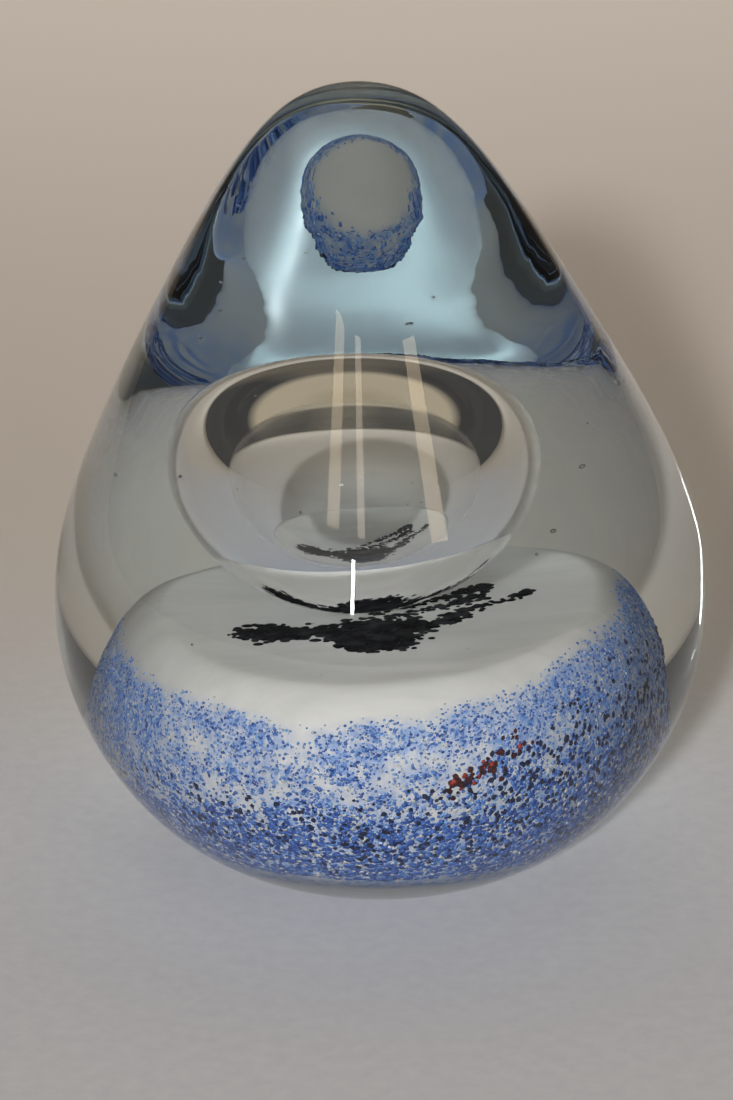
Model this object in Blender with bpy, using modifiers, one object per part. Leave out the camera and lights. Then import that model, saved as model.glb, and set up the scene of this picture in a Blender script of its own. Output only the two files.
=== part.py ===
"""Solid art-glass paperweight: a leaning pear of clear glass, a trapped bubble, a white ground in blue frit.

Run with blender --background --python part.py. Metres, +Z up, origin at the middle of the polished foot.
The real object is fused hot from layers. Each layer is its own solid here, with a hairline gap between.
"""

import math

import bmesh
import bpy
from mathutils import Matrix, Vector

# ---- Driving dimensions ----
HEIGHT = 0.1105  # foot to apex
WIDEST_RADIUS = 0.0453  # at the belly
WIDEST_Z = 0.0362
FOOT_RADIUS = 0.0195  # flat polished face, before the flank lifts off
FLANK_RISE_DEG = 13.0  # how steeply the underside lifts away from the foot
SHOULDER_RADIUS = 0.0303  # where the straight cone turns into the round crown
SHOULDER_Z = 0.0780
CONE_HALF_ANGLE_DEG = 28.7
CROWN_HANDLE = 0.028  # how far the cone's direction holds above the shoulder, and below it
CONE_HANDLE = 0.0286
LEAN_SLOPE = Vector((-0.055, -0.022, 0.0))  # sideways and forward drift of the crown per metre of height
LEAN_START_Z = 0.0554
LEAN_BLEND = 0.008  # half the height over which the lean sets in

BUBBLE_RADIUS = 0.0175
BUBBLE_HALF_HEIGHT = 0.0164
BUBBLE_CENTRE = Vector((-0.0027, 0.0, 0.0530))

GROUND_RADIUS = 0.0250
GROUND_WIDEST_Z = 0.0255
GROUND_TOP_Z = 0.0347
GROUND_FLAT_RADIUS = 0.0195
GROUND_BOTTOM_Z = 0.0105
GROUND_BOTTOM_RADIUS = 0.0155

GAP = 0.0003  # clearance between touching layers
FRIT_THICKNESS = 0.0008
CHIP_THICKNESS = 0.0008
MARK_THICKNESS = 0.0006
OVERLAY_THICKNESS = 0.0025  # the opaque white skin
INNER_GATHER_RADIUS = 0.0345
INNER_GATHER_WIDEST_Z = 0.0330
BASE_RADIUS = 0.0150
BASE_TOP_Z = 0.0092

SEGMENTS = 40
FLANK_STEPS = 14  # steps down the ground's side where frit and chips lie
STRANDS = 5
STRAND_STEPS = 6
RAISED_OVER_WHITE = FRIT_THICKNESS + CHIP_THICKNESS + 3 * GAP  # room for frit and chips
RAISED_OVER_TOP = MARK_THICKNESS + 2 * GAP  # room for the black mark

COLOURS = {
    "clear_glass": ((0.86, 0.90, 0.92), 0.03),
    "clear_core": ((0.80, 0.84, 0.86), 0.05),
    "white_glass": ((0.78, 0.78, 0.76), 0.35),
    "light_blue_frit": ((0.28, 0.40, 0.72), 0.40),
    "cobalt_frit": ((0.07, 0.15, 0.50), 0.40),
    "deep_blue_frit": ((0.03, 0.07, 0.30), 0.40),
    "navy_chip": ((0.010, 0.018, 0.070), 0.30),
    "red_chip": ((0.42, 0.030, 0.018), 0.30),
    "black_glass": ((0.008, 0.008, 0.010), 0.30),
}


# ---- Scene, collections and materials ----
def clear_scene():
    for old in list(bpy.data.objects):
        bpy.data.objects.remove(old)


def new_collection(name):
    made = bpy.data.collections.new(name)
    bpy.context.scene.collection.children.link(made)
    return made


def material(name):
    found = bpy.data.materials.get(name)
    if found:
        return found
    colour, roughness = COLOURS[name]
    made = bpy.data.materials.new(name)
    made.use_nodes = True
    shader = made.node_tree.nodes["Principled BSDF"]
    shader.inputs["Base Color"].default_value = (*colour, 1.0)
    shader.inputs["Roughness"].default_value = roughness
    if name.startswith("clear"):
        shader.inputs["Transmission Weight"].default_value = 1.0
        shader.inputs["IOR"].default_value = 1.5
    return made


def add_object(name, mesh, material_name):
    made = bpy.data.objects.new(name, mesh)
    mesh.materials.append(material(material_name))
    paperweight.objects.link(made)
    return made


# ---- Profiles: lists of (radius, z), from the top down on the outer side ----
def cubic(start, start_handle, end_handle, end, steps):
    """Points along a cubic curve, without its first point."""
    points = []
    for step in range(1, steps + 1):
        t = step / steps
        weights = ((1 - t) ** 3, 3 * (1 - t) ** 2 * t, 3 * (1 - t) * t * t, t**3)
        corners = (start, start_handle, end_handle, end)
        points.append(tuple(sum(w * c[axis] for w, c in zip(weights, corners)) for axis in (0, 1)))
    return points


def outer_profile(crown_steps=9, cone_steps=7, belly_steps=12):
    """The pear: round crown, nearly straight cone, full belly, flank tucked under to the foot."""
    cone = math.radians(CONE_HALF_ANGLE_DEG)
    rise = math.radians(FLANK_RISE_DEG)
    apex, shoulder = (0.0, HEIGHT), Vector((SHOULDER_RADIUS, SHOULDER_Z))
    belly, foot = (WIDEST_RADIUS, WIDEST_Z), (FOOT_RADIUS, 0.0)
    down_cone = Vector((math.sin(cone), -math.cos(cone)))
    over_shoulder = shoulder - down_cone * CROWN_HANDLE
    under_shoulder = shoulder + down_cone * CONE_HANDLE
    points = [apex]
    points += cubic(apex, (0.0112, HEIGHT), over_shoulder, shoulder, crown_steps)
    points += cubic(shoulder, under_shoulder, (WIDEST_RADIUS, WIDEST_Z + 0.0095), belly, cone_steps)
    foot_handle = (FOOT_RADIUS + math.cos(rise) * 0.014, math.sin(rise) * 0.014)
    points += cubic(belly, (WIDEST_RADIUS, WIDEST_Z - 0.0161), foot_handle, foot, belly_steps)
    return points


def ground_profile(side_steps=8):
    """The white ground's outside: flat top, rounded shoulder, sides tucked in to a small bottom."""
    top, rim = (0.0, GROUND_TOP_Z), (GROUND_FLAT_RADIUS, GROUND_TOP_Z)
    widest = (GROUND_RADIUS, GROUND_WIDEST_Z)
    bottom = (GROUND_BOTTOM_RADIUS, GROUND_BOTTOM_Z)
    points = [top, (GROUND_FLAT_RADIUS * 0.55, GROUND_TOP_Z), rim]
    over_rim, over_widest = (GROUND_FLAT_RADIUS + 0.0030, GROUND_TOP_Z - 0.0004), (GROUND_RADIUS, 0.0302)
    points += cubic(rim, over_rim, over_widest, widest, 6)
    under_widest, over_bottom = (GROUND_RADIUS, 0.0190), (GROUND_BOTTOM_RADIUS + 0.0065, 0.0120)
    points += cubic(widest, under_widest, over_bottom, bottom, side_steps)
    return points


def offset(profile, distance, top_distance=None):
    """The profile moved outwards along its normals. Points on the flat top move by top_distance instead."""
    moved = []
    for index, (radius, z) in enumerate(profile):
        before = Vector(profile[max(index - 1, 0)])
        after = Vector(profile[min(index + 1, len(profile) - 1)])
        along = (after - before).normalized()
        if top_distance is not None and along.y > -0.2:
            moved.append((radius if radius == 0 else radius + distance * 0.5, z + top_distance))
        else:
            moved.append((max(radius - along.y * distance, 0.0), z + along.x * distance))
    return moved


def bubble_arc(top_half, steps=8):
    """Half of the bubble's outline: the roof from its rim up, or the floor from its middle out to the rim."""
    arc = []
    for step in range(steps + 1):
        turn = 0.5 * math.pi * step / steps
        if top_half:
            radius, height = math.cos(turn), math.sin(turn)
        else:
            radius, height = math.sin(turn), -math.cos(turn)
        arc.append((BUBBLE_RADIUS * radius, BUBBLE_CENTRE.z + BUBBLE_HALF_HEIGHT * height))
    arc[-1 if top_half else 0] = (0.0, arc[-1 if top_half else 0][1])
    return arc


def inner_gather_side(extra):
    """Outside of the first gather, from its rim at the bubble's middle down to the base pad."""
    rim = (0.0300 + extra, BUBBLE_CENTRE.z - GAP / 2 + extra)
    widest = (INNER_GATHER_RADIUS + extra, INNER_GATHER_WIDEST_Z)
    bottom = (0.0235 + extra, BASE_TOP_Z + GAP)
    points = [rim]
    points += cubic(rim, (0.0330 + extra, 0.0470), (widest[0], 0.0400), widest, 5)
    points += cubic(widest, (widest[0], 0.0230), (0.0290 + extra, 0.0125), bottom, 6)
    return points


# ---- Solids ----
def turned(name, profile, material_name, closed=False, segments=SEGMENTS):
    """A profile spun about Z. A closed profile makes a ring, an open one has both ends on the axis."""
    mesh = bpy.data.meshes.new(name)
    edges = [(index, index + 1) for index in range(len(profile) - 1)]
    if closed:
        edges.append((len(profile) - 1, 0))
    mesh.from_pydata([(radius, 0.0, z) for radius, z in profile], edges, [])
    made = add_object(name, mesh, material_name)
    spin = made.modifiers.new("Spin", "SCREW")
    spin.axis = "Z"
    spin.steps = spin.render_steps = segments
    spin.use_merge_vertices = True
    spin.merge_threshold = 1e-5
    spin.use_smooth_shade = True
    return made


def lean_at(z):
    """Shift of the axis at height z: none below, then a smooth start to a straight slope."""
    start, end = LEAN_START_Z - LEAN_BLEND, LEAN_START_Z + LEAN_BLEND
    if z <= start:
        return Vector((0.0, 0.0, 0.0))
    if z < end:
        return LEAN_SLOPE * ((z - start) ** 2 / (4 * LEAN_BLEND))
    return LEAN_SLOPE * (z - LEAN_START_Z)


def bake(made):
    """Replaces the object's mesh by its evaluated one, so that its points can be moved."""
    graph = bpy.context.evaluated_depsgraph_get()
    mesh = bpy.data.meshes.new_from_object(made.evaluated_get(graph))
    made.modifiers.clear()
    made.data = mesh
    return mesh


def make_outer_gather():
    """The last gather: the whole outside, and the bubble's roof on the inside."""
    inner = inner_gather_side(extra=GAP)
    roof = bubble_arc(top_half=True)
    profile = outer_profile() + [(BASE_RADIUS + GAP, 0.0)]
    profile += [(BASE_RADIUS + GAP, BASE_TOP_Z + GAP / 2)] + inner[::-1] + roof
    made = turned("outer_gather", profile, "clear_glass")
    outside = outer_profile()
    for vertex in bake(made).vertices:
        radius, z = math.hypot(vertex.co.x, vertex.co.y), vertex.co.z
        on_outside = any(abs(radius - r) < 1e-6 and abs(z - height) < 1e-6 for r, height in outside)
        on_roof = not on_outside and z > inner[0][1] - 1e-6 and radius < BUBBLE_RADIUS + 1e-6
        if on_outside:
            vertex.co += lean_at(z)
        elif on_roof:
            vertex.co.x += BUBBLE_CENTRE.x


def make_inner_gather():
    """The first clear gather: it wraps the ground, and its top is dimpled to make the bubble's floor."""
    floor = bubble_arc(top_half=False)
    pocket = offset(ground_profile(), RAISED_OVER_WHITE + GAP, RAISED_OVER_TOP)
    bottom_z = BASE_TOP_Z + GAP
    mouth = (pocket[-1][0], bottom_z)
    rim_z = BUBBLE_CENTRE.z - GAP / 2
    floor[-1] = (BUBBLE_RADIUS, rim_z)
    profile = floor + inner_gather_side(extra=0.0) + [mouth] + pocket[::-1]
    made = turned("inner_gather", profile, "clear_glass")
    for vertex in bake(made).vertices:
        radius = math.hypot(vertex.co.x, vertex.co.y)
        if any(abs(radius - r) < 1e-6 and abs(vertex.co.z - z) < 1e-6 for r, z in floor):
            vertex.co.x += BUBBLE_CENTRE.x


def make_base_gather():
    """The clear pad under the ground, with the flat polished foot."""
    edge = 0.0004
    profile = [(0.0, BASE_TOP_Z), (BASE_RADIUS - edge, BASE_TOP_Z), (BASE_RADIUS, BASE_TOP_Z - edge)]
    profile += [(BASE_RADIUS, 0.0), (0.0, 0.0)]
    turned("base_gather", profile, "clear_glass")


def make_ground():
    """The white overlay, a skin open below, and the clear core that carries it."""
    skin = ground_profile()
    inside = offset(skin, -OVERLAY_THICKNESS)
    inside[-1] = (inside[-1][0], GROUND_BOTTOM_Z)
    turned("white_ground", skin + inside[::-1], "white_glass")
    core = offset(skin, -OVERLAY_THICKNESS - GAP)
    core[-1] = (core[-1][0], GROUND_BOTTOM_Z)
    turned("ground_core", core + [(0.0, GROUND_BOTTOM_Z)], "clear_core")


def make_frit_band(name, high, low, material_name):
    """A band of fused frit on the flank of the white ground."""
    flank = ground_profile(FLANK_STEPS)
    under, over = offset(flank, GAP), offset(flank, GAP + FRIT_THICKNESS)
    covered = [index for index, (_, z) in enumerate(flank) if low <= z <= high]
    ring = [over[index] for index in covered] + [under[index] for index in reversed(covered)]
    turned(name, ring, material_name, closed=True)


def flank_frame(turn_deg, z):
    """Place and axes on the frit's surface: Z points out of the ground, X runs round it."""
    profile = offset(ground_profile(FLANK_STEPS), 2 * GAP + FRIT_THICKNESS + CHIP_THICKNESS / 2)
    for (r0, z0), (r1, z1) in zip(profile, profile[1:]):
        if z1 <= z <= z0 and z0 > z1:
            share = (z0 - z) / (z0 - z1)
            radius = r0 + (r1 - r0) * share
            slope = Vector((r1 - r0, z1 - z0)).normalized()
            break
    turn = math.radians(turn_deg)
    outward = Vector((math.cos(turn), math.sin(turn), 0.0))
    normal = (outward * -slope.y + Vector((0.0, 0.0, slope.x))).normalized()
    around = Vector((-math.sin(turn), math.cos(turn), 0.0))
    up = normal.cross(around)
    axes = Matrix((around, up, normal)).transposed().to_4x4()
    return Matrix.Translation(outward * radius + Vector((0.0, 0.0, z))) @ axes


def make_chip(name, turn_deg, z, length, width, material_name):
    """One coarse chip of coloured glass, melted to a lens, lying on the frit."""
    cage = bmesh.new()
    bmesh.ops.create_icosphere(cage, subdivisions=1, radius=1.0)
    lens = Matrix.Diagonal((length / 2, width / 2, CHIP_THICKNESS / 2, 1.0))
    bmesh.ops.transform(cage, matrix=flank_frame(turn_deg, z) @ lens, verts=cage.verts)
    mesh = bpy.data.meshes.new(name)
    cage.to_mesh(mesh)
    cage.free()
    mesh.shade_smooth()
    add_object(name, mesh, material_name)


def make_chips():
    """Navy chips all round in two staggered rows, and a cluster of red ones right of the front."""
    rows = ((0.0205, 0, 0.0016), (0.0165, 20, 0.0019))
    count = 9
    for row, (z, start, length) in enumerate(rows):
        for step in range(count):
            turn = start + 360.0 * step / count
            drift = 0.0009 * math.sin(2.4 * step + row)
            number = row * count + step + 1
            make_chip(f"navy_chip_{number:02d}", turn, z + drift, length, length * 0.7, "navy_chip")
    front = 270.0
    red_places = (
        (18, 0.0230, 0.0015),
        (20, 0.0247, 0.0021),
        (27, 0.0242, 0.0018),
        (31, 0.0268, 0.0024),
        (38, 0.0264, 0.0017),
    )
    for number, (right, z, length) in enumerate(red_places, 1):
        make_chip(f"red_chip_{number:02d}", front + right, z, length, length * 0.65, "red_chip")


def make_mark_piece(name, spine, widths):
    """A flat streak of black glass on the white top: a ribbon about a spine, with a width at each point."""
    left, right = [], []
    for index, (x, y) in enumerate(spine):
        before = Vector(spine[max(index - 1, 0)])
        after = Vector(spine[min(index + 1, len(spine) - 1)])
        side = (after - before).normalized().orthogonal() * widths[index] / 2
        left.append((x + side.x, y + side.y))
        right.append((x - side.x, y - side.y))
    outline = left + right[::-1]
    curve = bpy.data.curves.new(name, "CURVE")
    curve.dimensions = "2D"
    curve.fill_mode = "BOTH"
    curve.extrude = MARK_THICKNESS / 2
    spline = curve.splines.new("POLY")
    spline.points.add(len(outline) - 1)
    for point, (x, y) in zip(spline.points, outline):
        point.co = (x, y, 0.0, 1.0)
    spline.use_cyclic_u = True
    made = add_object(name, curve, "black_glass")
    made.location.z = GROUND_TOP_Z + GAP + MARK_THICKNESS / 2


def make_mark():
    """One broad streak with a blunt left end, and thin strands trailing off to the right and back."""
    streak = (
        (-0.0130, -0.0034, 0.0030),
        (-0.0100, -0.0040, 0.0030),
        (-0.0055, -0.0048, 0.0034),
        (0.0000, -0.0068, 0.0066),
        (0.0045, -0.0058, 0.0048),
        (0.0090, -0.0020, 0.0012),
    )
    make_mark_piece("mark_streak", [(x, y) for x, y, _ in streak], [width for _, _, width in streak])
    for number in range(STRANDS):
        spine, widths = [], []  # each strand starts further right and further back, and runs a little longer
        for step in range(STRAND_STEPS + 1):
            along = step / STRAND_STEPS
            x = -0.0020 + 0.0012 * number + (0.0090 + 0.0008 * number) * along
            y = -0.0018 + 0.0022 * number + 0.0040 * along + 0.0004 * math.sin(5 * along + number)
            spine.append((x, y))
            widths.append(0.0002 + 0.0008 * math.sin(math.pi * (0.10 + 0.80 * along)))
        make_mark_piece(f"mark_strand_{number + 1}", spine, widths)


clear_scene()
paperweight = new_collection("paperweight")
make_outer_gather()
make_inner_gather()
make_base_gather()
make_ground()
make_frit_band("frit_fine_upper", 0.0318, 0.0262, "light_blue_frit")
make_frit_band("frit_cobalt_middle", 0.0258, 0.0185, "cobalt_frit")
make_frit_band("frit_deep_lower", 0.0182, 0.0112, "deep_blue_frit")
make_chips()
make_mark()
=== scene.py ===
"""Looks of the art-glass paperweight: clear leaning pear, trapped bubble, white ground in blue frit.

The glass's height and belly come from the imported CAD. The sizes below follow its other parts. Metres, +Z up.
"""

import math
import random

import bmesh
import bpy
from mathutils import Matrix, Vector, noise


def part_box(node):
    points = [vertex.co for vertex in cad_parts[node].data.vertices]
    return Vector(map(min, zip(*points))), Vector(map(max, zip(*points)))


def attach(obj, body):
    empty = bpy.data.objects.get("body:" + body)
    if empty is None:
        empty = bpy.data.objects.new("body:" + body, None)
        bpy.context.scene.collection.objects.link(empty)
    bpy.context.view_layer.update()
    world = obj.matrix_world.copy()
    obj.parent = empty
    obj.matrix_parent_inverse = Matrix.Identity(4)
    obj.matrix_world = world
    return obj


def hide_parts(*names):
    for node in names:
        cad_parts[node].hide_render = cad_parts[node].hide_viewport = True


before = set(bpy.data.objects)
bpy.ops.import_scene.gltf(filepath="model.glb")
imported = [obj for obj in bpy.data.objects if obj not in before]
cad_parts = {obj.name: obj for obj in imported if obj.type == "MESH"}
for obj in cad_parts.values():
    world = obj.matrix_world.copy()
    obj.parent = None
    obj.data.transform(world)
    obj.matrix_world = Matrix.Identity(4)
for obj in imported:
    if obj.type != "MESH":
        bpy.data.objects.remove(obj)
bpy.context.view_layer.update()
MM = 0.001

# ---- Sizes taken from the frame ----
outer_low, outer_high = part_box("outer_gather")
HEIGHT = outer_high.z
BELLY_RADIUS = outer_high.x

# ---- Sizes of the glass and the ground ----
FOOT_RADIUS = 19.5 * MM
FOOT_EDGE = 0.5 * MM  # rounding where the polished foot meets the flank
BELLY_Z = 36.2 * MM
SHOULDER = (30.3 * MM, 78.0 * MM)
CONE_HALF_ANGLE = math.radians(28.7)
FLANK_RISE = math.radians(13.0)
LEAN_SLOPE = Vector((-0.055, -0.022))  # sideways and forward drift of the crown per metre of height
LEAN_START_Z = 55.4 * MM
LEAN_BLEND = 8.0 * MM

BUBBLE_CENTRE = Vector((-2.7 * MM, 0.0, 53.0 * MM))
BUBBLE_RADIUS = 17.5 * MM
BUBBLE_HALF_HEIGHT = 16.4 * MM

GROUND_RADIUS = 25.3 * MM
GROUND_WIDEST_Z = 25.5 * MM
GROUND_TOP_Z = 34.9 * MM
GROUND_FLAT_RADIUS = 20.0 * MM
GROUND_BOTTOM = (18.0 * MM, 9.6 * MM)
GROUND_TILT = math.tan(math.radians(3.4))  # the ground sits higher on the right
TILT_FADE = (9.3 * MM, 24.0 * MM)  # no tilt at the base, all of it from here up

SEEDS = 26  # tiny air bubbles in the glass
FRIT_TRIES = 46000  # places tried for a grain: the thinner the frit there, the fewer stay
NAVY_TRIES = 6000
RED_CHIPS = 48

FRONT = math.radians(270.0)  # the side that faces -Y
rng = random.Random(7)


# ---- Small helpers ----
def smooth(low, high, value):
    share = min(max((value - low) / (high - low), 0.0), 1.0)
    return share * share * (3 - 2 * share)


def cubic(start, start_handle, end_handle, end, steps):
    """Points along a cubic curve, without its first point."""
    points = []
    for step in range(1, steps + 1):
        t = step / steps
        weights = ((1 - t) ** 3, 3 * (1 - t) ** 2 * t, 3 * (1 - t) * t * t, t**3)
        corners = (start, start_handle, end_handle, end)
        points.append(tuple(sum(w * c[axis] for w, c in zip(weights, corners)) for axis in (0, 1)))
    return points


def outer_profile():
    """(radius, z) down the outside of the glass, from the apex to the middle of the foot."""
    apex, belly = (0.0, HEIGHT), (BELLY_RADIUS, BELLY_Z)
    slope = Vector((math.sin(CONE_HALF_ANGLE), -math.cos(CONE_HALF_ANGLE)))
    over, under = Vector(SHOULDER) - 28.0 * MM * slope, Vector(SHOULDER) + 28.6 * MM * slope
    foot = (FOOT_RADIUS, 0.0)
    flank_end = (FOOT_RADIUS + FOOT_EDGE * math.cos(FLANK_RISE), FOOT_EDGE * math.sin(FLANK_RISE))
    flank_handle = (FOOT_RADIUS + 14.0 * MM * math.cos(FLANK_RISE), 14.0 * MM * math.sin(FLANK_RISE))
    points = [apex]
    points += cubic(apex, (11.2 * MM, HEIGHT), over, SHOULDER, 44)
    points += cubic(SHOULDER, under, (BELLY_RADIUS, BELLY_Z + 9.5 * MM), belly, 40)
    points += cubic(belly, (BELLY_RADIUS, BELLY_Z - 16.1 * MM), flank_handle, flank_end, 56)
    points += cubic(flank_end, foot, foot, (FOOT_RADIUS - FOOT_EDGE, 0.0), 5)
    points += [(FOOT_RADIUS * share, 0.0) for share in (0.75, 0.5, 0.25, 0.0)]
    return points


def ground_profile(top_steps=14, shoulder_steps=22, side_steps=40):
    """(radius, z) down the outside of the white ground, from mid top to mid bottom."""
    rim, widest = (GROUND_FLAT_RADIUS, GROUND_TOP_Z), (GROUND_RADIUS, GROUND_WIDEST_Z)
    points = [(GROUND_FLAT_RADIUS * step / top_steps, GROUND_TOP_Z) for step in range(top_steps)] + [rim]
    over_rim, over_widest = (rim[0] + 2.6 * MM, rim[1] - 0.4 * MM), (GROUND_RADIUS, 30.2 * MM)
    points += cubic(rim, over_rim, over_widest, widest, shoulder_steps)
    under_widest, over_bottom = (GROUND_RADIUS, 19.0 * MM), (GROUND_BOTTOM[0] + 5.0 * MM, 11.2 * MM)
    points += cubic(widest, under_widest, over_bottom, GROUND_BOTTOM, side_steps)
    points += [(GROUND_BOTTOM[0] * share, GROUND_BOTTOM[1]) for share in (0.66, 0.33, 0.0)]
    return points


def lean_at(z):
    """Sideways shift of the glass's axis at height z: none below, then a smooth start to a straight slope."""
    start, end = LEAN_START_Z - LEAN_BLEND, LEAN_START_Z + LEAN_BLEND
    if z <= start:
        return Vector((0.0, 0.0))
    if z < end:
        return LEAN_SLOPE * ((z - start) ** 2 / (4 * LEAN_BLEND))
    return LEAN_SLOPE * (z - LEAN_START_Z)


def tilted(point):
    """The point with the ground's tilt added."""
    share = smooth(TILT_FADE[0], TILT_FADE[1], point.z)
    return Vector((point.x, point.y, point.z + point.x * GROUND_TILT * share))


def lathe(cage, profile, segments, place, inward=False):
    """Adds a turned surface to a bmesh. place moves each point after it is spun."""
    rings = []
    for radius, z in profile:
        if radius < 1e-7:
            rings.append([cage.verts.new(place(Vector((0.0, 0.0, z))))])
            continue
        ring = []
        for step in range(segments):
            turn = 2 * math.pi * step / segments
            ring.append(cage.verts.new(place(Vector((radius * math.cos(turn), radius * math.sin(turn), z)))))
        rings.append(ring)
    for above, below in zip(rings, rings[1:]):
        for step in range(segments):
            after = (step + 1) % segments
            if len(above) == 1:
                corners = [above[0], below[step], below[after]]
            elif len(below) == 1:
                corners = [above[step], below[0], above[after]]
            else:
                corners = [above[step], below[step], below[after], above[after]]
            cage.faces.new(corners[::-1] if inward else corners)


def piece(name, cage, material, slot, *nodes):
    """Makes an object from a bmesh, and rides it on the root body in place of the CAD nodes it stands for."""
    mesh = bpy.data.meshes.new(name)
    cage.to_mesh(mesh)
    cage.free()
    mesh.shade_smooth()
    mesh.materials.append(material)
    made = bpy.data.objects.new(name, mesh)
    bpy.context.scene.collection.objects.link(made)
    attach(made, "root")
    if nodes:
        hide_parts(*nodes)
    return made


# ---- Material helpers ----
class Nodes:
    """A material's node tree, with short calls to add nodes and link them."""

    def __init__(self, name):
        self.material = bpy.data.materials.new(name)
        self.material.use_nodes = True
        self.tree = self.material.node_tree
        self.shader = self.tree.nodes["Principled BSDF"]
        self.output = self.tree.nodes["Material Output"]

    def add(self, kind, inputs=None, **settings):
        node = self.tree.nodes.new("ShaderNode" + kind)
        for key, value in settings.items():
            setattr(node, key, value)
        for key, value in (inputs or {}).items():
            self.put(value, node.inputs[key])
        return node

    def put(self, value, socket):
        if isinstance(value, bpy.types.NodeSocket):
            self.tree.links.new(value, socket)
        else:
            socket.default_value = value

    def set(self, **inputs):
        for key, value in inputs.items():
            self.put(value, self.shader.inputs[key.replace("_", " ")])

    def place(self, scale=(1.0, 1.0, 1.0)):
        where = self.add("TexCoord").outputs["Object"]
        return self.add("Mapping", {"Vector": where, "Scale": scale}).outputs["Vector"]

    def noise(self, vector, scale, detail=3.0, roughness=0.5):
        inputs = {"Vector": vector, "Scale": scale, "Detail": detail, "Roughness": roughness}
        return self.add("TexNoise", inputs).outputs["Fac"]

    def mix(self, share, first, second, blend="MIX"):
        made = self.add("Mix", data_type="RGBA", blend_type=blend)
        self.put(share, made.inputs["Factor"])
        for value, socket in ((first, made.inputs[6]), (second, made.inputs[7])):
            self.put((*value, 1.0) if isinstance(value, tuple) else value, socket)
        return made.outputs[2]

    def between(self, value, low, high, out_low=0.0, out_high=1.0):
        inputs = {"Value": value, "From Min": low, "From Max": high, "To Min": out_low, "To Max": out_high}
        return self.add("MapRange", inputs).outputs["Result"]

    def math(self, operation, *values):
        made = self.add("Math", operation=operation)
        for index, value in enumerate(values):
            self.put(value, made.inputs[index])
        return made.outputs[0]


# ---- Clear glass ----
def clear_glass():
    """Fire-polished clear glass. Shadow rays pass straight through, so that light reaches what is inside."""
    nodes = Nodes("clear_body_glass")
    nodes.set(Transmission_Weight=1.0, Roughness=0.0, IOR=1.5)
    nodes.set(Base_Color=(0.97, 0.985, 0.99, 1.0))
    ripple = nodes.noise(nodes.place((1.0, 1.0, 5.0)), 34.0, 1.5, 0.5)
    turning = nodes.noise(nodes.place((1.0, 1.0, 24.0)), 22.0, 1.0, 0.5)
    marks = nodes.math("MULTIPLY_ADD", turning, 0.04, ripple)
    bump = nodes.add("Bump", {"Height": marks, "Strength": 0.035, "Distance": 0.0006})
    nodes.set(Normal=bump.outputs["Normal"])
    inward = nodes.add("NewGeometry").outputs["Backfacing"]
    let_through = nodes.mix(inward, (0.045, 0.055, 0.055), (0.93, 0.95, 0.95))
    passing = nodes.add("BsdfTransparent", {"Color": let_through})
    shadow = nodes.add("LightPath").outputs["Is Shadow Ray"]
    both = nodes.add("MixShader", {0: shadow, 1: nodes.shader.outputs[0], 2: passing.outputs[0]})
    nodes.tree.links.new(both.outputs[0], nodes.output.inputs["Surface"])
    absorb = nodes.add("VolumeAbsorption", {"Color": (0.62, 0.74, 0.76, 1.0), "Density": 5.6})
    nodes.tree.links.new(absorb.outputs[0], nodes.output.inputs["Volume"])
    return nodes.material


def make_glass_body(material):
    """The whole clear body as one fused piece of glass, with the bubble as a hollow in it."""

    def outside(point):
        lean = lean_at(point.z)
        swell = 1 + 0.0016 * noise.noise(Vector((point.x, point.y, point.z * 0.7)) * 55)
        swell = 1 + (swell - 1) * smooth(0.0, 8 * MM, point.z)
        return Vector((point.x * swell + lean.x, point.y * swell + lean.y, point.z))

    cage = bmesh.new()
    lathe(cage, outer_profile(), 256, outside)
    steps = 120
    outline = []
    for step in range(steps + 1):
        turn = math.pi * step / steps
        outline.append((BUBBLE_RADIUS * math.sin(turn) if 0 < step < steps else 0.0, math.cos(turn)))

    def wall(point):
        wobble = 1 + 0.006 * noise.noise(Vector((point.x * 60, point.y * 60, point.z * 1.2 + 7.0)))
        return BUBBLE_CENTRE + Vector((point.x * wobble, point.y * wobble, point.z * BUBBLE_HALF_HEIGHT))

    lathe(cage, outline, 192, wall, inward=True)
    return piece("glass_body", cage, material, "clear_glass", "outer_gather", "inner_gather", "base_gather")


def make_seeds(material):
    """Tiny air bubbles left in the glass."""
    cage = bmesh.new()
    for _ in range(SEEDS):
        turn, height = rng.uniform(0, 2 * math.pi), rng.uniform(30, 92) * MM
        out = rng.uniform(19, 27) * MM * (1 - smooth(60 * MM, 100 * MM, height) * 0.6)
        centre = Vector((out * math.cos(turn), out * math.sin(turn), height))
        size = rng.uniform(0.10, 0.28) * MM
        ball = bmesh.ops.create_icosphere(cage, subdivisions=2, radius=size)["verts"]
        bmesh.ops.translate(cage, verts=ball, vec=centre)
    bmesh.ops.reverse_faces(cage, faces=cage.faces)
    return piece("seed_bubbles", cage, material, "clear_glass")


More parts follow.
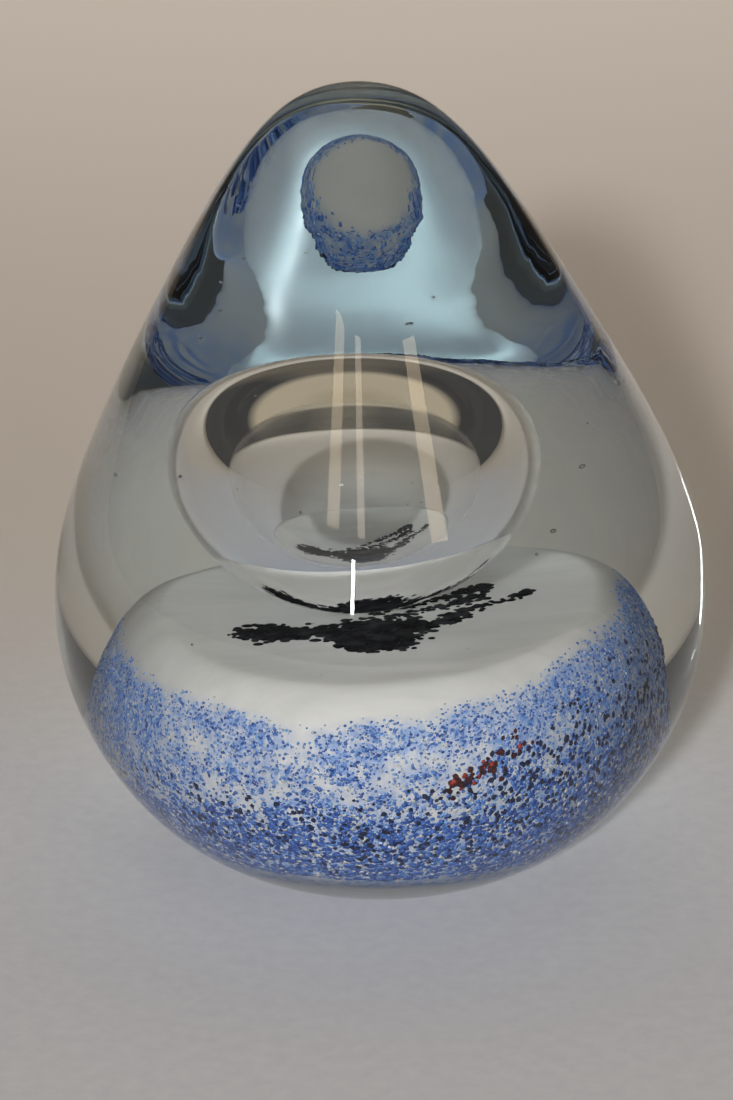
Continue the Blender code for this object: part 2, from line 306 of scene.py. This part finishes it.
# ---- White ground ----
def frit_density(turn, z):
    """How thickly the frit lies at this place on the flank, from 0 to 1."""
    right = math.sin(turn - FRONT)
    front = max(math.cos(turn - FRONT), 0.0)
    blotch = noise.noise(Vector((2.6 * math.cos(turn), 2.6 * math.sin(turn), z * 150)))
    patch = noise.noise(Vector((8.0 * math.cos(turn), 8.0 * math.sin(turn), z * 460 + 5)))
    back = max(-math.cos(turn - FRONT), 0.0)
    top = (32.3 + 1.0 * blotch + 0.9 * right - 1.1 * front - 2.7 * smooth(0.35, 0.85, back)) * MM
    fringe = 1 - smooth(top - 1.2 * MM, top + 1.2 * MM, z)
    lower = 1 - smooth(17.0 * MM, 23.5 * MM, z + 2.5 * MM * (1 - front) * (0.4 - right))
    upper = 0.50 + 0.26 * (1 - front) + 0.30 * max(right, 0.0)
    body = upper + (1.0 - upper) * lower
    return max(0.0, min(1.0, fringe * (body + 0.08 + 0.42 * blotch + 0.72 * patch)))


def white_glass():
    nodes = Nodes("white_ground_glass")
    where = nodes.place()
    streaks = nodes.noise(nodes.place((0.35, 1.6, 1.0)), 190.0, 5.0, 0.6)
    clouds = nodes.noise(where, 70.0, 3.0)
    white = nodes.mix(nodes.between(streaks, 0.35, 0.75), (0.625, 0.605, 0.585), (0.525, 0.510, 0.490))
    white = nodes.mix(nodes.between(clouds, 0.4, 0.8, 0.0, 0.4), white, (0.48, 0.47, 0.455))
    specks = nodes.add("TexVoronoi", {"Vector": where, "Scale": 330.0, "Randomness": 1.0})
    dot = nodes.between(specks.outputs["Distance"], 0.05, 0.09, 1.0, 0.0)
    rare = nodes.add("SeparateColor", {"Color": specks.outputs["Color"]}).outputs[0]
    dot = nodes.math("MULTIPLY", dot, nodes.between(rare, 0.90, 0.93))
    white = nodes.mix(dot, white, (0.16, 0.15, 0.14))
    dust = nodes.add("Attribute", attribute_name="frit").outputs["Fac"]
    grain = nodes.noise(where, 900.0, 3.0, 0.7)
    powder = nodes.math("MULTIPLY", dust, nodes.between(grain, 0.30, 0.60))
    tint = nodes.mix(nodes.noise(where, 260.0), (0.175, 0.330, 0.660), (0.075, 0.175, 0.480))
    nodes.set(Base_Color=nodes.mix(powder, white, tint))
    nodes.set(Roughness=0.55, Specular_IOR_Level=0.12)
    return nodes.material


def make_ground():
    cage = bmesh.new()
    lathe(cage, ground_profile(), 288, tilted)
    made = piece("white_ground_skin", cage, white_glass(), "white_glass", "white_ground")
    dust = made.data.attributes.new("frit", "FLOAT", "POINT")
    for index, vertex in enumerate(made.data.vertices):
        turn = math.atan2(vertex.co.y, vertex.co.x)
        height = vertex.co.z - vertex.co.x * GROUND_TILT * smooth(TILT_FADE[0], TILT_FADE[1], vertex.co.z)
        radius = math.hypot(vertex.co.x, vertex.co.y)
        on_flank = smooth(GROUND_BOTTOM[0] - 2 * MM, GROUND_BOTTOM[0], radius)
        dust.data[index].value = frit_density(turn, height) * on_flank
    return made


# ---- Frit and chips ----
def flank_table():
    """Places down the flank: (radius, z, outward normal in the profile's plane, length of the stretch)."""
    fine = ground_profile(side_steps=200, shoulder_steps=80)
    profile = [point for point in fine if point[0] > GROUND_FLAT_RADIUS]
    table = []
    for (r0, z0), (r1, z1) in zip(profile, profile[1:]):
        length = math.hypot(r1 - r0, z1 - z0)
        if length > 0 and z1 >= GROUND_BOTTOM[1]:
            table.append(((r0 + r1) / 2, (z0 + z1) / 2, Vector((z0 - z1, r1 - r0)) / length, length))
    return table


FLANK = flank_table()
FLANK_WEIGHTS = [radius * length for radius, _, _, length in FLANK]


def random_flank_place():
    radius, z, normal, _ = rng.choices(FLANK, FLANK_WEIGHTS)[0]
    return rng.uniform(0, 2 * math.pi), radius, z, normal


def add_fleck(cage, turn, radius, z, normal, size, thickness, corners=6, stretch=1.0):
    """One grain of frit: a flat closed lens with an uneven outline, half sunk in the white."""
    around = Vector((-math.sin(turn), math.cos(turn), 0.0))
    outward = Vector((math.cos(turn) * normal.x, math.sin(turn) * normal.x, normal.y))
    up = outward.cross(around)
    centre = Vector((radius * math.cos(turn), radius * math.sin(turn), z))
    spin = rng.uniform(0, 2 * math.pi)
    rim = []
    for corner in range(corners):
        angle = spin + 2 * math.pi * corner / corners
        reach = size * rng.uniform(0.65, 1.15)
        offset = around * (reach * math.cos(angle) * stretch) + up * (reach * math.sin(angle))
        rim.append(cage.verts.new(tilted(centre + offset)))
    top = cage.verts.new(tilted(centre + outward * thickness))
    bottom = cage.verts.new(tilted(centre - outward * thickness))
    for corner in range(corners):
        after = (corner + 1) % corners
        cage.faces.new((rim[corner], rim[after], top))
        cage.faces.new((rim[after], rim[corner], bottom))


def frit_glass(name, dark, light, scale=700.0):
    """Opaque coloured glass, lighter where the grain has melted thin."""
    nodes = Nodes(name)
    vary = nodes.noise(nodes.place(), scale, 3.0, 0.65)
    nodes.set(Base_Color=nodes.mix(nodes.between(vary, 0.32, 0.68), dark, light))
    nodes.set(Roughness=0.5, Specular_IOR_Level=0.10)
    return nodes.material


def make_frit():
    """Four grades of blue frit, thick and dark towards the bottom, thin and pale at the top."""
    grades = {
        "frit_pale": ((0.140, 0.290, 0.610), (0.260, 0.430, 0.760), "light_blue_frit", ["frit_fine_upper"]),
        "frit_mid": ((0.040, 0.125, 0.440), (0.100, 0.230, 0.600), "cobalt_frit", ["frit_cobalt_middle"]),
        "frit_cobalt": ((0.018, 0.055, 0.260), (0.045, 0.115, 0.420), "deep_blue_frit", ["frit_deep_lower"]),
        "frit_white": ((0.50, 0.51, 0.52), (0.66, 0.66, 0.65), "white_glass", []),
    }
    cages = {name: bmesh.new() for name in grades}
    for _ in range(FRIT_TRIES):
        turn, radius, z, normal = random_flank_place()
        density = frit_density(turn, z)
        if rng.random() > density * 1.1:
            continue
        lower = 1 - smooth(16 * MM, 28 * MM, z)
        pick = rng.random() + 0.30 * (lower - 0.5) + 0.30 * (density - 0.5)
        if rng.random() < 0.10:
            name = "frit_white"
        elif pick < 0.28:
            name = "frit_pale"
        elif pick < 0.74:
            name = "frit_mid"
        else:
            name = "frit_cobalt"
        size = (0.09 + (0.14 + 0.23 * lower) * rng.random() ** 1.7) * MM
        stretch = rng.uniform(0.9, 1.35)
        add_fleck(cages[name], turn, radius, z, normal, size, 0.05 * MM, corners=5, stretch=stretch)
    for name, (dark, light, slot, nodes) in grades.items():
        piece(name, cages[name], frit_glass(name + "_glass", dark, light), slot, *nodes)


def make_chips():
    """Coarse navy grains in the lower skirt, and a cluster of red and maroon ones right of the front."""
    navy, red, maroon = bmesh.new(), bmesh.new(), bmesh.new()
    for _ in range(NAVY_TRIES):
        turn, radius, z, normal = random_flank_place()
        right = math.sin(turn - FRONT)
        top = (22.5 + 8.5 * max(right, 0.0)) * MM
        belt = smooth(11.5 * MM, 14 * MM, z) * (1 - smooth(top - 4 * MM, top + 2 * MM, z))
        patch = noise.noise(Vector((2.2 * math.cos(turn), 2.2 * math.sin(turn), z * 120 + 9)))
        if rng.random() > belt * (0.50 + 0.7 * patch + 0.22 * right):
            continue
        size = rng.uniform(0.20, 0.42) * MM
        add_fleck(navy, turn, radius, z, normal, size, 0.14 * MM, corners=8)
    for index in range(RED_CHIPS):
        turn = FRONT + math.radians(rng.choice((18, 20, 27, 30, 37)) + rng.gauss(0, 2.2))
        z = (22.6 + 0.15 * (math.degrees(turn - FRONT) - 12) + rng.gauss(0, 0.9)) * MM
        radius, height, normal, _ = min(FLANK, key=lambda row: abs(row[1] - z))
        size = rng.uniform(0.24, 0.50) * MM
        add_fleck(red if index % 5 == 0 else maroon, turn, radius, height, normal, size, 0.2 * MM, corners=8)
    names = [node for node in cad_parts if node.startswith("navy_chip")]
    navy_glass = frit_glass("navy_chip_glass", (0.006, 0.009, 0.030), (0.016, 0.026, 0.080))
    piece("navy_chips", navy, navy_glass, "navy_chip", *names)
    names = [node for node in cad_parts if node.startswith("red_chip")]
    red_glass = frit_glass("red_chip_glass", (0.22, 0.016, 0.010), (0.40, 0.050, 0.026))
    piece("red_chips", red, red_glass, "red_chip", *names)
    maroon_glass = frit_glass("maroon_chip_glass", (0.030, 0.007, 0.010), (0.090, 0.014, 0.014))
    piece("maroon_chips", maroon, maroon_glass, "red_chip")


# ---- Black mark on the white top ----
def make_mark():
    """A ragged streak of black glass: many small drops laid along strokes, then fused into one skin."""
    strokes = (  # start and end in mm, how far the drops stray, and how many there are
        ((-13.2, -3.2), (-9.0, -3.6), 1.15, 210),
        ((-9.5, -3.6), (-4.0, -4.0), 0.95, 240),
        ((-4.8, -4.2), (4.2, -4.8), 1.40, 330),
        ((-3.0, -2.6), (4.0, -3.2), 1.10, 200),
        ((-3.8, -6.8), (3.0, -7.2), 1.20, 330),
        ((-3.0, -9.0), (2.4, -9.4), 0.60, 190),
        ((4.0, -3.6), (8.4, -1.2), 0.70, 80),
        ((5.8, -1.4), (9.6, 1.4), 0.62, 56),
        ((9.4, 1.2), (13.0, 4.0), 0.42, 40),
        ((-0.9, 0.4), (3.0, 2.6), 0.36, 26),
        ((2.6, 2.4), (6.8, 5.0), 0.46, 44),
        ((6.2, 4.8), (9.6, 6.6), 0.80, 70),
        ((1.8, -0.2), (5.8, 1.8), 0.40, 34),
        ((5.4, 1.6), (9.2, 4.0), 0.55, 54),
        ((12.2, 3.4), (13.4, 4.0), 0.60, 26),
        ((-14.6, -3.6), (-13.6, -3.4), 0.30, 6),
    )
    cage = bmesh.new()
    for start, end, reach, count in strokes:
        for step in range(count):
            along = (step + rng.random()) / count
            x = start[0] + (end[0] - start[0]) * along + rng.gauss(0, reach * 0.35)
            y = start[1] + (end[1] - start[1]) * along + rng.gauss(0, reach * 0.95)
            size = rng.uniform(0.16, 0.46) * min(1.0, 0.5 + reach * 0.5)
            lens = Matrix.Translation((x * MM, y * MM, GROUND_TOP_Z)) @ Matrix.Diagonal(
                (size * MM * rng.uniform(0.9, 1.6), size * MM, 0.16 * MM, 1.0)
            )
            bmesh.ops.create_icosphere(cage, subdivisions=2, radius=1.0, matrix=lens)
    for vertex in cage.verts:
        vertex.co = tilted(vertex.co)
    nodes = Nodes("black_trail_glass")
    soot = nodes.noise(nodes.place(), 520.0, 4.0, 0.7)
    black = nodes.mix(nodes.between(soot, 0.45, 0.72), (0.006, 0.006, 0.008), (0.045, 0.045, 0.050))
    nodes.set(Base_Color=black, Roughness=0.55, Specular_IOR_Level=0.10)
    replaced = [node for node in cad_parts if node.startswith("mark_")]
    made = piece("black_mark", cage, nodes.material, "black_glass", *replaced)
    fuse = made.modifiers.new("Fuse", "REMESH")
    fuse.mode = "VOXEL"
    fuse.voxel_size = 0.075 * MM
    fuse.use_smooth_shade = True
    graph = bpy.context.evaluated_depsgraph_get()
    fused = bpy.data.meshes.new_from_object(made.evaluated_get(graph))
    made.modifiers.clear()
    made.data = fused
    return made


# ---- Floor, light and camera ----
def make_floor():
    half = 2.0
    mesh = bpy.data.meshes.new("floor")
    cage = bmesh.new()
    bmesh.ops.create_grid(cage, x_segments=1, y_segments=1, size=half)
    cage.to_mesh(mesh)
    cage.free()
    floor = bpy.data.objects.new("floor", mesh)
    floor.location.z = -0.15 * MM
    bpy.context.scene.collection.objects.link(floor)
    nodes = Nodes("paper_floor")
    where = nodes.place()
    back = nodes.add("SeparateXYZ", {"Vector": where}).outputs["Y"]
    fibre = nodes.noise(where, 420.0, 4.0, 0.6)
    # The paper near the camera gets a cool tint that offsets the warm room light: painted light colour.
    near_paper_cool_tint = nodes.mix(nodes.between(fibre, 0.3, 0.7), (0.75, 0.76, 0.81), (0.81, 0.82, 0.86))
    # Behind the paperweight the paper turns beige. That is partly the colour of the beige wall it stands in
    # for, and partly painted warm bounce light from that wall.
    nodes.set(Base_Color=nodes.mix(nodes.between(back, 0.02, 0.12), near_paper_cool_tint, (0.84, 0.77, 0.70)))
    nodes.set(Roughness=0.9, Specular_IOR_Level=0.2)
    mesh.materials.append(nodes.material)


def add_area(name, azimuth, elevation, distance, size, power, colour, height=None, glossy=True):
    """A softbox that faces the paperweight. Azimuth 0 is the camera's side, and grows to the right.

    A glossy one shows in reflections but not through the glass, and any other the other way round.
    """
    light = bpy.data.lights.new(name, "AREA")
    light.energy, light.color = power, colour
    light.size = size
    if height:
        light.shape, light.size_y = "RECTANGLE", height
    turn, rise = math.radians(azimuth), math.radians(elevation)
    aim = Vector((0.0, 0.0, 0.05))
    away = Vector((math.sin(turn) * math.cos(rise), -math.cos(turn) * math.cos(rise), math.sin(rise)))
    made = bpy.data.objects.new(name, light)
    made.location = aim + away * distance
    made.rotation_euler = away.to_track_quat("Z", "Y").to_euler()
    made.visible_glossy, made.visible_transmission = glossy, not glossy
    bpy.context.scene.collection.objects.link(made)


def make_gathered_light():
    """A thin lamp in the back of the foot, for the light that the crown gathers onto the paper there."""
    light = bpy.data.lights.new("gathered_light", "AREA")
    light.shape, light.size, light.size_y = "RECTANGLE", 0.026, 0.0025
    light.energy, light.color = 0.114, (0.90, 1.0, 0.98)
    made = bpy.data.objects.new("gathered_light", light)
    made.location = (0.0005, 0.0178, 0.0013)
    made.visible_glossy = made.visible_transmission = False
    made.rotation_euler = (0.0, 0.0, math.radians(6.0))
    bpy.context.scene.collection.objects.link(made)


def make_backdrop_light():
    """A soft pool of light on the desk well behind the paperweight."""
    light = bpy.data.lights.new("backdrop_light", "SPOT")
    light.energy, light.color = 22.0, (1.0, 0.98, 0.96)
    light.spot_size, light.spot_blend, light.shadow_soft_size = math.radians(62), 1.0, 0.15
    made = bpy.data.objects.new("backdrop_light", light)
    made.location = (0.0, 0.75, 1.2)
    made.visible_glossy = made.visible_transmission = False
    bpy.context.scene.collection.objects.link(made)


def make_world():
    """A warm wall behind the paperweight, dark low down at the sides, and a dim room on the camera's side."""
    world = bpy.data.worlds.new("studio")
    bpy.context.scene.world = world
    world.use_nodes = True
    tree = world.node_tree
    where = tree.nodes.new("ShaderNodeTexCoord")
    split = tree.nodes.new("ShaderNodeSeparateXYZ")
    tree.links.new(where.outputs["Generated"], split.inputs[0])
    aside = tree.nodes.new("ShaderNodeMath")
    aside.operation = "ABSOLUTE"
    tree.links.new(split.outputs["X"], aside.inputs[0])
    blends = (
        (aside.outputs[0], 0.05, 0.17, (0.050, 0.046, 0.042)),  # the wall's foot, away from the middle
        (split.outputs["Z"], 0.60, 0.72, (0.430, 0.350, 0.245)),  # the lit wall
        (split.outputs["Z"], 0.93, 0.99, (0.340, 0.270, 0.175)),  # the ceiling
        (split.outputs["Y"], 0.15, -0.15, (0.030, 0.032, 0.035)),  # the room on the camera's side
    )
    shade = None
    for direction, low, high, colour in blends:
        share = tree.nodes.new("ShaderNodeMapRange")
        share.inputs["From Min"].default_value, share.inputs["From Max"].default_value = low, high
        tree.links.new(direction, share.inputs["Value"])
        blend = tree.nodes.new("ShaderNodeMix")
        blend.data_type = "RGBA"
        tree.links.new(share.outputs["Result"], blend.inputs["Factor"])
        if shade:
            tree.links.new(shade, blend.inputs[6])
        else:
            blend.inputs[6].default_value = (0.130, 0.108, 0.082, 1.0)  # the wall's foot straight behind
        blend.inputs[7].default_value = (*colour, 1.0)
        shade = blend.outputs[2]
    tree.links.new(shade, tree.nodes["Background"].inputs[0])


def make_camera():
    """A long lens 22 degrees above the desk, level, as close as a hand-held portrait shot."""
    elevation, distance = math.radians(22.0), 0.5816
    aim = Vector((-0.0019, -0.0022, 0.0445))
    forward = Vector((0.0, math.cos(elevation), -math.sin(elevation)))
    lens = bpy.data.cameras.new("camera")
    lens.sensor_fit, lens.sensor_height, lens.lens = "VERTICAL", 36.0, 137.5
    camera = bpy.data.objects.new("camera", lens)
    camera.location = aim - forward * distance
    camera.rotation_euler = (-forward).to_track_quat("Z", "Y").to_euler()
    bpy.context.scene.collection.objects.link(camera)
    bpy.context.scene.camera = camera


def make_core_glass():
    """Milky clear glass for the ground's core, the one CAD node that stays."""
    nodes = Nodes("ground_core_glass")
    swirl = nodes.noise(nodes.place((1.0, 1.0, 3.0)), 120.0, 4.0)
    nodes.set(Base_Color=nodes.mix(swirl, (0.62, 0.66, 0.68), (0.76, 0.79, 0.80)), Roughness=0.3)
    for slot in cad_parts["ground_core"].material_slots:
        slot.material = nodes.material


def corners(bounds):
    return [list(corner) for corner in bounds]


# ---- Build ----
make_camera()
glass = clear_glass()
make_glass_body(glass)
make_seeds(glass)
make_ground()
make_frit()
make_chips()
make_mark()
make_core_glass()

make_floor()
make_world()
add_area("flash", -8.6, 21.5, 2.5, 0.14, 38.0, (1.0, 0.99, 0.98), glossy=False)
add_area("flash_glint", -9.8, 17.5, 0.55, 0.010, 0.21, (1.0, 1.0, 1.0), height=0.085)
add_area("window_left", -18.0, 31.5, 1.3, 0.10, 0.36, (1.0, 0.80, 0.56), height=0.30)
add_area("window_mid", -7.0, 31.5, 1.3, 0.06, 0.22, (1.0, 0.84, 0.66), height=0.30)
add_area("window_right", 24.0, 31.5, 1.3, 0.14, 0.54, (1.0, 0.80, 0.54), height=0.30)
make_gathered_light()
make_backdrop_light()

scene = bpy.context.scene
scene.view_settings.view_transform = "Standard"
scene.cycles.max_bounces = 24
scene.cycles.transmission_bounces = 24
scene.cycles.glossy_bounces = 12
scene.cycles.transparent_max_bounces = 24
